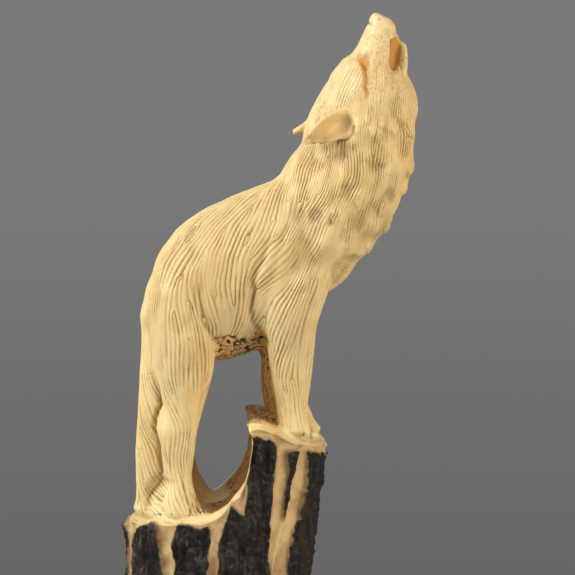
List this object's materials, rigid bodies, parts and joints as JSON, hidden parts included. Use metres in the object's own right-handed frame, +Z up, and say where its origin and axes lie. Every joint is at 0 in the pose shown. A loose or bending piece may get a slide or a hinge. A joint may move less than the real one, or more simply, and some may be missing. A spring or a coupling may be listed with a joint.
{
  "type": "wolf figurine",
  "caption": "Howling wolf carved from deer antler, head thrown back, standing on a stepped stump that keeps its dark bark between carved channels.",
  "frame": {"origin": "centre of the sawn face under the stump, which the carving stands on", "axes": "+Z up along the antler, +X the way the wolf faces, -Y the side that the picture shows"},
  "size_m": [0.065, 0.0338, 0.1604],
  "materials": {
    "carved_antler": "carved and lightly polished cream antler, near-black rough bark left on the stump"
  },
  "bodies": {
    "root": {"howling_wolf": "carved_antler"}
  },
  "joints": []
}
